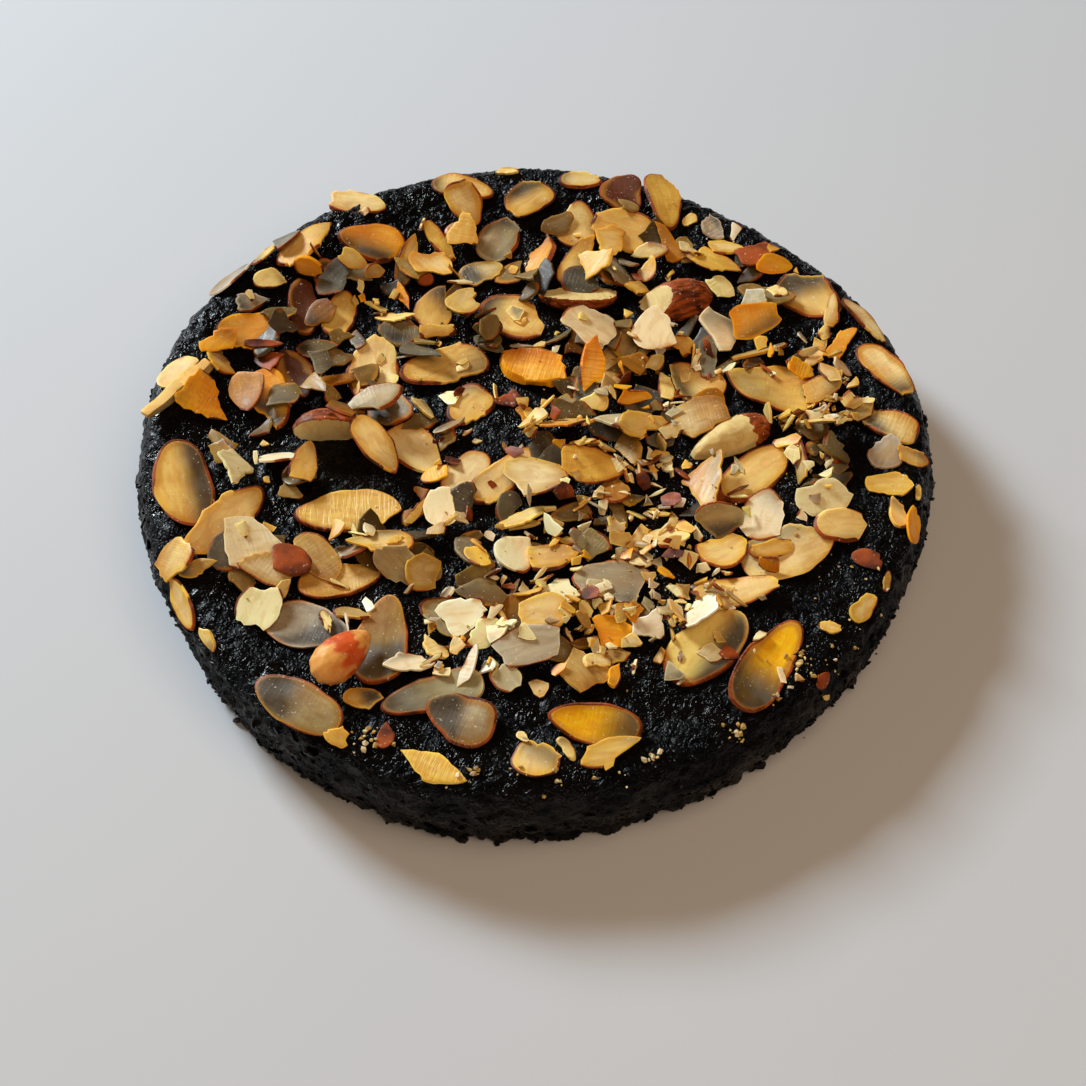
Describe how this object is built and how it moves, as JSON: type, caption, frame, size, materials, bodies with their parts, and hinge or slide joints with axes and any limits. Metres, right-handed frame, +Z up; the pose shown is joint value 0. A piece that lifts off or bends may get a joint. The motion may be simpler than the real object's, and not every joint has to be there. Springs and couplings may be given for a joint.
{
  "type": "chocolate almond cake",
  "caption": "Round, low, dark chocolate cake with a sunken top, a rounded raised rim and rough sides, covered with flaked almonds.",
  "frame": {"origin": "centre of the flat underside, on the surface that the cake stands on", "axes": "+Z up, +X to the right and +Y to the back as the cake is seen from its front; the cake is round about +Z"},
  "size_m": [0.1842, 0.181, 0.0315],
  "materials": {
    "crust": "baked chocolate crust: near-black, finely wrinkled and crumbly, with small glossy specks on top and rough torn crumb at the side",
    "almond_ivory": "thin sliced almond, pale cream, satin, slightly translucent, with a toasted rim",
    "almond_golden": "thin sliced almond toasted golden yellow, satin, browner at the rim",
    "almond_toasted": "sliced almond toasted orange-brown, satin, in places with its skin",
    "almond_clear": "very thin sliced almond through which the dark crust shows grey, satin",
    "almond_skin": "red-brown wrinkled almond skin, matt, round a pale kernel"
  },
  "bodies": {
    "root": {"cake_body": "crust", "almond_slice_01": "almond_toasted", "almond_slice_02": "almond_ivory", "almond_slice_03": "almond_golden", "almond_slice_04": "almond_skin", "almond_slice_05": "almond_toasted", "almond_slice_06": "almond_golden", "almond_sliver_07": "almond_golden", "almond_sliver_08": "almond_golden", "almond_slice_09": "almond_clear", "almond_slice_10": "almond_golden", "almond_slice_11": "almond_golden", "almond_slice_12": "almond_golden", "almond_slice_13": "almond_toasted", "almond_slice_14": "almond_skin", "almond_slice_15": "almond_ivory", "almond_slice_16": "almond_golden", "almond_slice_17": "almond_golden", "almond_slice_18": "almond_golden", "almond_slice_19": "almond_golden", "almond_slice_20": "almond_ivory", "almond_slice_21": "almond_skin", "almond_slice_22": "almond_ivory", "almond_slice_23": "almond_ivory", "almond_slice_24": "almond_golden", "almond_slice_25": "almond_golden", "almond_slice_26": "almond_golden", "almond_sliver_27": "almond_ivory", "almond_slice_28": "almond_toasted", "almond_slice_29": "almond_ivory", "almond_kernel_30": "almond_skin", "almond_slice_31": "almond_toasted", "almond_slice_32": "almond_golden", "almond_slice_33": "almond_golden", "almond_slice_34": "almond_golden", "almond_slice_35": "almond_clear", "almond_slice_36": "almond_golden", "almond_slice_37": "almond_clear", "almond_kernel_38": "almond_toasted", "almond_slice_39": "almond_clear", "almond_slice_40": "almond_clear", "almond_slice_41": "almond_clear", "almond_slice_42": "almond_clear", "almond_slice_43": "almond_ivory", "almond_slice_44": "almond_golden", "almond_kernel_45": "almond_skin", "almond_kernel_46": "almond_skin", "almond_slice_47": "almond_ivory", "almond_slice_48": "almond_toasted", "almond_slice_49": "almond_ivory", "almond_slice_50": "almond_golden", "almond_slice_51": "almond_golden", "almond_kernel_52": "almond_ivory", "almond_slice_53": "almond_golden", "almond_slice_54": "almond_ivory", "almond_slice_55": "almond_ivory", "almond_slice_56": "almond_ivory", "almond_slice_57": "almond_golden", "almond_slice_58": "almond_toasted", "almond_slice_59": "almond_toasted"}
  },
  "joints": []
}
